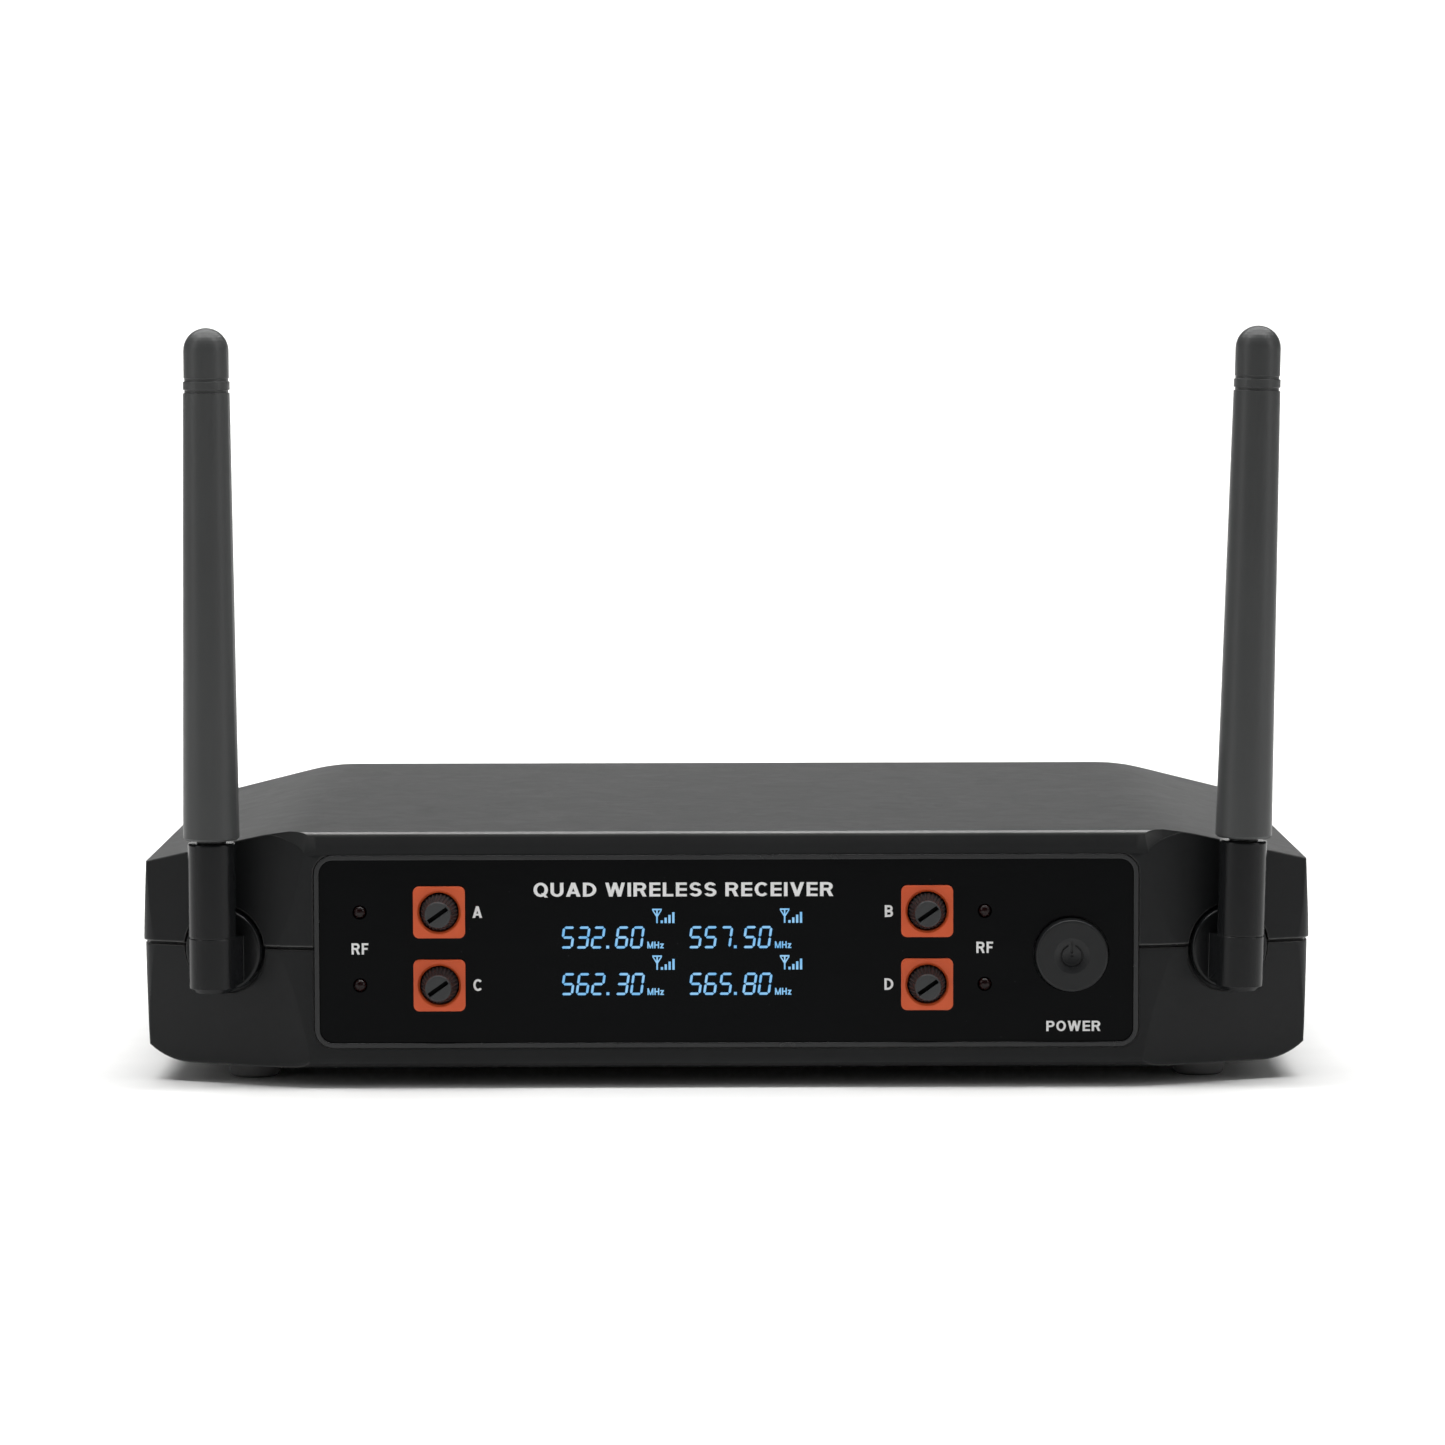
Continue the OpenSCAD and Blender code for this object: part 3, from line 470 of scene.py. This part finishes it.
# the brow's round is painted paler, glossier and more reflective where it turns from front to top: a
# painted highlight, and wear
brow = solid_piece("brow_edge", build_brow, case_abs("case_abs_brow", 0))
brow.data.polygons.foreach_set("use_smooth", [True] * len(brow.data.polygons))
brow.data.set_sharp_from_angle(angle=math.radians(24))


# ---- printing on the panel and the rear plate, and the display -----------------

panel_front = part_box("front_panel")[0].y
rear_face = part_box("rear_plate")[1].y
PRINT_LIFT = 0.01 * MM
PRINT_THICK = 0.03 * MM


def on_panel(x, z, lift=PRINT_LIFT):
    """Place of a flat piece on the front panel: its own X to the right and Y up."""
    return Matrix.Translation((x, panel_front - lift, z)) @ Matrix.Rotation(math.pi / 2, 4, "X")


def on_rear(x, z, lift=PRINT_LIFT):
    """Place of a flat piece on the rear plate, read from behind."""
    return (Matrix.Translation((x, rear_face + lift, z)) @ Matrix.Rotation(math.pi, 4, "Z")
            @ Matrix.Rotation(math.pi / 2, 4, "X"))


def add_plate(form, outline, place, thick=PRINT_THICK):
    """A thin solid with the given outline, from its back at the panel to its front."""
    back = [form.verts.new(place @ Vector((x, y, 0))) for x, y in outline]
    front = [form.verts.new(place @ Vector((x, y, thick))) for x, y in outline]
    form.faces.new(list(reversed(back)))
    form.faces.new(front)
    count = len(outline)
    for i in range(count):
        j = (i + 1) % count
        form.faces.new((back[i], back[j], front[j], front[i]))


STEM = 0.2                  # upright strokes, in cap heights
ARM = STEM * 0.92           # level strokes
GAP = 0.14                  # between letters
LAYER_STEP = 0.002 * MM     # a letter's bars cross, so each is laid a hair over the last


def rect(x, y, w, h):
    """Outline of an upright bar of a letter, in cap heights."""
    return [(x, y), (x + w, y), (x + w, y + h), (x, y + h)]


def slope(x0, y0, x1, y1, across=STEM * 1.12):
    """Outline of a slanting bar whose flat ends lie on the lines y0 and y1."""
    return [(x0, y0), (x0 + across, y0), (x1 + across, y1), (x1, y1)]


def bowl(x, y, rx, ry, start, end, steps=12):
    """Outline of a curved bar, a part of an oval ring, between two angles in degrees."""
    turn = [math.radians(start + (end - start) * i / steps) for i in range(steps + 1)]
    outer = [(x + rx * math.cos(a), y + ry * math.sin(a)) for a in turn]
    inner = [(x + (rx - STEM) * math.cos(a), y + (ry - ARM) * math.sin(a)) for a in reversed(turn)]
    return outer + inner


def lobe(y, h, w):
    """Outlines of a round-ended loop on a stem: two straight arms and their curve."""
    r = h / 2
    arm = w - r
    return [rect(0, y, arm, ARM), rect(0, y + h - ARM, arm, ARM),
            bowl(arm, y + r, r, r, -90, 90)]


def oval(w):
    """Outlines of a closed round letter, in two halves."""
    return [bowl(w / 2, 0.5, w / 2, 0.51, 0, 180), bowl(w / 2, 0.5, w / 2, 0.51, 180, 360)]


# plain bold capitals: width and the outlines of their bars, in cap heights
LETTERS = {
    "A": (0.82, [slope(0, 0, 0.3, 1), slope(0.6, 0, 0.3, 1), rect(0.18, 0.2, 0.46, 0.16)]),
    "B": (0.70, [rect(0, 0, STEM, 1)] + lobe(0, 0.57, 0.70) + lobe(0.43, 0.57, 0.67)),
    "C": (0.76, [bowl(0.41, 0.5, 0.41, 0.51, 42, 318, 20)]),
    "D": (0.76, [rect(0, 0, STEM, 1)] + lobe(0, 1, 0.76)),
    "E": (0.62, [rect(0, 0, STEM, 1)] + [rect(0, y, 0.62, 0.18) for y in (0, 0.41, 0.82)]),
    "F": (0.58, [rect(0, 0, STEM, 1), rect(0, 0.41, 0.52, 0.18), rect(0, 0.82, 0.58, 0.18)]),
    "H": (0.74, [rect(0, 0, STEM, 1), rect(0.74 - STEM, 0, STEM, 1), rect(0, 0.41, 0.74, 0.18)]),
    "I": (0.20, [rect(0, 0, STEM, 1)]),
    "L": (0.60, [rect(0, 0, STEM, 1), rect(0, 0, 0.60, 0.18)]),
    "M": (0.90, [rect(0, 0, STEM * 0.9, 1), rect(0.72, 0, STEM * 0.9, 1),
                 slope(0.36, 0, 0, 1, 0.18), slope(0.36, 0, 0.72, 1, 0.18)]),
    "N": (0.76, [rect(0, 0, STEM, 1), rect(0.76 - STEM, 0, STEM, 1), slope(0.53, 0, 0, 1)]),
    "O": (0.82, oval(0.82)),
    "P": (0.70, [rect(0, 0, STEM, 1)] + lobe(0.38, 0.62, 0.70)),
    "Q": (0.82, oval(0.82) + [slope(0.64, -0.06, 0.42, 0.26, 0.18)]),
    "R": (0.76, [rect(0, 0, STEM, 1), slope(0.52, 0, 0.34, 0.44)] + lobe(0.40, 0.60, 0.72)),
    "S": (0.70, [bowl(0.35, 0.71, 0.33, 0.30, 20, 270, 14), bowl(0.35, 0.29, 0.35, 0.30, 200, 450, 14)]),
    "U": (0.74, [rect(0, 0.37, STEM, 0.63), rect(0.74 - STEM, 0.37, STEM, 0.63),
                 bowl(0.37, 0.37, 0.37, 0.38, 180, 360)]),
    "V": (0.80, [slope(0.29, 0, 0, 1), slope(0.29, 0, 0.58, 1)]),
    "W": (1.12, [slope(0.22, 0, 0, 1, 0.2), slope(0.22, 0, 0.46, 1, 0.2),
                 slope(0.70, 0, 0.46, 1, 0.2), slope(0.70, 0, 0.92, 1, 0.2)]),
    "X": (0.80, [slope(0, 0, 0.58, 1), slope(0.58, 0, 0, 1)]),
    "z": (0.54, [rect(0, 0, 0.54, 0.17), rect(0, 0.55, 0.54, 0.17), slope(0, 0.1, 0.29, 0.62, 0.25)]),
    " ": (0.22, []),
}


def words(name, text, x, z, height, width=None, material=None, face=on_panel):
    """Printed words whose capitals are height tall, centred on x and z, drawn to width if given."""
    length = sum(LETTERS[c][0] for c in text) + GAP * (len(text) - 1)
    squeeze = width / (length * height) if width else 1.0

    def build(form):
        place = face(x, z) @ Matrix.Translation((-length * squeeze * height / 2, -height / 2, 0))
        pen = 0.0
        for mark in text:
            advance, outlines = LETTERS[mark]
            for layer, outline in enumerate(outlines):
                add_plate(form, [((pen + px) * squeeze * height, py * height) for px, py in outline],
                          place, PRINT_THICK + layer * LAYER_STEP)
            pen += advance + GAP
    return solid_piece(name, build, material or ink)


ink = screen_ink()
glow = display_glow("display_glow", "#74bbf0", "#a2d8ff", 0.95)
haze = display_glow("display_haze", "#06182a", "#0a2238", 1.0)
CHANNEL_LETTER_GAP = 8.4 * MM     # from a knob's middle to its letter
for channel in CHANNELS:
    spot = centre(f"knob_surround_{channel}")
    toward = 1 if channel in "ac" else -1
    words(f"label_{channel}", channel.upper(), spot.x + toward * CHANNEL_LETTER_GAP, spot.z, 2.6 * MM)

for side, above, below in (("left", "a", "c"), ("right", "b", "d")):
    upper, lower = centre(f"rf_led_{above}"), centre(f"rf_led_{below}")
    words(f"label_rf_{side}", "RF", upper.x, (upper.z + lower.z) / 2, 2.5 * MM)

button = centre("power_button")
words("label_power", "POWER", button.x + 0.6 * MM, button.z - 16.0 * MM, 2.3 * MM, 12 * MM)
words("label_title", "QUAD WIRELESS RECEIVER", -9.4 * MM, 44.1 * MM, 3.1 * MM, 66 * MM)

for channel in CHANNELS:
    socket = centre(f"xlr_output_{channel}")
    words(f"label_output_{channel}", channel.upper(), socket.x + 15.7 * MM, socket.z + 9 * MM,
          2.6 * MM, face=on_rear)
jack, inlet = centre("mix_jack"), centre("dc_inlet")
words("label_mix", "MIX", jack.x, jack.z + 11 * MM, 2.3 * MM, face=on_rear)
words("label_dc", "DC IN", inlet.x, inlet.z + 11 * MM, 2.3 * MM, face=on_rear)

# which of the seven bars each numeral lights: top, two upper, middle, two lower, bottom
BARS = {
    "0": "tabdeu", "1": "be", "2": "tbmdu", "3": "tbmeu", "4": "abme",
    "5": "tameu", "6": "tamdeu", "7": "tbe", "8": "tabmdeu", "9": "tabmeu",
}
DIGIT_H = 4.9 * MM
DIGIT_W = 2.75 * MM
DIGIT_PITCH = 3.32 * MM
BAR_W = 0.52 * MM
BAR_GAP = 0.09 * MM
SLANT = math.tan(math.radians(8))
HAZE_SWELL = 0.2 * MM       # how far the haze reaches past a bar
LIT_LIFT = 0.04 * MM        # the lit bars stand over their haze


def bar(start, end, swell=0.0):
    """Outline of one bar with pointed ends, from start to end, swollen for the haze round it."""
    along = (end - start).normalized()
    across = Vector((-along.y, along.x)) * (BAR_W / 2 + swell)
    a, b = start + along * (BAR_GAP - swell), end - along * (BAR_GAP - swell)
    tip = along * (BAR_W / 2 + swell)
    return [a, a + tip + across, b - tip + across, b, b - tip - across, a + tip - across]


def digit_bars(numeral, swell=0.0):
    """Outlines of the lit bars of one numeral, from its lower left corner, leaning right."""
    w, h, i = DIGIT_W - BAR_W, DIGIT_H - BAR_W, BAR_W / 2
    corners = {name: Vector(p) for name, p in {
        "bl": (i, i), "br": (i + w, i), "ml": (i, i + h / 2), "mr": (i + w, i + h / 2),
        "tl": (i, i + h), "tr": (i + w, i + h)}.items()}
    runs = {"t": ("tl", "tr"), "a": ("ml", "tl"), "b": ("mr", "tr"), "m": ("ml", "mr"),
            "d": ("bl", "ml"), "e": ("br", "mr"), "u": ("bl", "br")}
    return [[(p.x + p.y * SLANT, p.y) for p in bar(corners[runs[k][0]], corners[runs[k][1]], swell)]
            for k in BARS[numeral]]


def readout(name, text, x, z):
    """A frequency in seven-bar numerals over the haze they throw in the panel, from the lower left."""
    def fill(lift, swell, step):
        def build(form):
            place = on_panel(x, z, lift)
            pen = 0.0
            for mark in text:
                if mark == ".":
                    side = 0.62 * MM + 2 * swell
                    left = pen + 0.2 * MM - swell
                    add_plate(form, [(left, -swell), (left + side, -swell), (left + side, side - swell),
                                     (left, side - swell)], place)
                    pen += DIGIT_PITCH * 0.6
                    continue
                for layer, outline in enumerate(digit_bars(mark, swell)):
                    add_plate(form, [(pen + px, py) for px, py in outline], place,
                              PRINT_THICK + layer * step)
                pen += DIGIT_PITCH
        return build
    solid_piece(name + "_haze", fill(PRINT_LIFT, HAZE_SWELL, LAYER_STEP), haze)
    solid_piece(name, fill(LIT_LIFT, 0.0, 0.0), glow)


def signal_icon(name, x, z):
    """An aerial sign and four rising strength bars, from their lower left corner."""
    def build(form):
        place = on_panel(x, z, LIT_LIFT)
        stroke, top = 0.34 * MM, 2.85 * MM
        mast = 1.15 * MM
        add_plate(form, [(mast - stroke / 2, 0), (mast + stroke / 2, 0),
                         (mast + stroke / 2, top), (mast - stroke / 2, top)], place)
        for way in (-1, 1):
            tip = mast + way * 1.05 * MM
            arm = [(mast + way * stroke * 0.4, 1.35 * MM), (mast + way * stroke * 0.4, 1.9 * MM),
                   (tip - way * stroke * 0.8, top - 0.02 * MM), (tip, top - 0.02 * MM)]
            add_plate(form, arm if way > 0 else list(reversed(arm)), place)
        add_plate(form, [(mast - 1.05 * MM, top), (mast + 1.05 * MM, top),
                         (mast + 1.05 * MM, top + stroke), (mast - 1.05 * MM, top + stroke)], place)
        for step in range(4):
            left = (1.95 + 0.85 * step) * MM
            tall = (0.6 + 0.6 * step) * MM
            add_plate(form, [(left, 0), (left + 0.5 * MM, 0), (left + 0.5 * MM, tall), (left, tall)], place)
    return solid_piece(name, build, glow)


# each channel's frequency, its column from the left and its line from the bottom
READOUTS = (("532.60", 0, 1), ("557.50", 1, 1), ("562.30", 0, 0), ("565.80", 1, 0))
FIRST_X, COLUMN_PITCH = -36.6 * MM, 28.1 * MM
LOWER_Z, LINE_PITCH = 20.7 * MM, 10.35 * MM
for channel, (text, column, line) in zip(CHANNELS, READOUTS):
    x = FIRST_X + column * COLUMN_PITCH
    z = LOWER_Z + line * LINE_PITCH
    readout(f"readout_{channel}", text, x, z)
    words(f"unit_{channel}", "MHz", x + 21 * MM, z + 0.75 * MM, 1.5 * MM, 3.6 * MM, material=glow)
    signal_icon(f"signal_{channel}", x + 20.2 * MM, z + 5.6 * MM)


# ---- studio -------------------------------------------------------------------

def floor_paper():
    """Matt background paper, rolled out: pale and even, with a faint fibre."""
    return moulded("floor_paper", "#e9e9e8", "#eeeeed", (0.85, 0.95), 1.5, 0.05, specular=0.2)


def sweep_sheet():
    """Paper that lies flat under the unit and curves up behind it."""
    form = bmesh.new()
    half, front, back, rise, bend = 2.2, -2.4, 2.2, 0.46, 0.3
    profile = [(front, 0.0), (back - bend, 0.0)]
    profile += [(back - bend + bend * math.sin(a), bend - bend * math.cos(a))
                for a in [math.pi / 2 * i / 12 for i in range(1, 13)]]
    profile += [(back, rise)]
    rows = [[form.verts.new((x, y, z)) for y, z in profile] for x in (-half, half)]
    for i in range(len(profile) - 1):
        form.faces.new((rows[0][i], rows[1][i], rows[1][i + 1], rows[0][i + 1]))
    mesh = bpy.data.meshes.new("background_sheet")
    form.to_mesh(mesh)
    form.free()
    for face in mesh.polygons:
        face.use_smooth = True
    mesh.materials.append(floor_paper())
    sheet = bpy.data.objects.new("background_sheet", mesh)
    bpy.context.scene.collection.objects.link(sheet)


def softbox(name, place, target, size, power):
    """A soft area light that faces a target."""
    lamp = bpy.data.lights.new(name, "AREA")
    lamp.shape = "RECTANGLE"
    lamp.size, lamp.size_y = size
    lamp.energy = power
    holder = bpy.data.objects.new(name, lamp)
    holder.location = place
    holder.rotation_mode = "QUATERNION"
    holder.rotation_quaternion = (Vector(target) - Vector(place)).to_track_quat("-Z", "Y")
    bpy.context.scene.collection.objects.link(holder)


def studio():
    """The paper, soft light from above and both sides, a strip for the edges, and a lit backdrop."""
    sweep_sheet()
    middle = (0, 0, 0.05)
    softbox("overhead_box", (0, 0.3, 1.6), middle, (2.4, 1.8), 34)
    softbox("strip_box", (0, -0.2, 1.5), middle, (2.6, 0.18), 20)
    softbox("left_box", (-1.5, -0.7, 0.7), middle, (0.5, 1.2), 5.5)
    softbox("right_box", (1.5, -0.7, 0.7), middle, (0.5, 1.2), 5.5)
    softbox("backdrop_box", (0, 1.2, 1.6), (0, 2.1, 0.1), (3.0, 0.5), 40)
    world = bpy.data.worlds.new("studio_air")
    world.use_nodes = True
    air = world.node_tree.nodes["Background"]
    air.inputs["Color"].default_value = linear("#ffffff")
    air.inputs["Strength"].default_value = 0.06
    bpy.context.scene.world = world


def camera():
    """A long lens just over a metre in front of the panel, looking a little down."""
    lens = bpy.data.cameras.new("camera")
    lens.sensor_width = 36
    lens.lens = 124.6
    lens.clip_start, lens.clip_end = 0.05, 20
    eye = bpy.data.objects.new("camera", lens)
    eye.location = (0, panel_front - 1.0933, 0.1736)
    turned, tipped, leaned = (math.radians(a) for a in (0.0375, 90 - 4.845, -0.15))
    eye.rotation_euler = (Matrix.Rotation(turned, 4, "Z") @ Matrix.Rotation(tipped, 4, "X")
                          @ Matrix.Rotation(leaned, 4, "Z")).to_euler()
    bpy.context.scene.collection.objects.link(eye)
    bpy.context.scene.camera = eye


studio()
camera()
bpy.context.scene.view_settings.view_transform = "Standard"
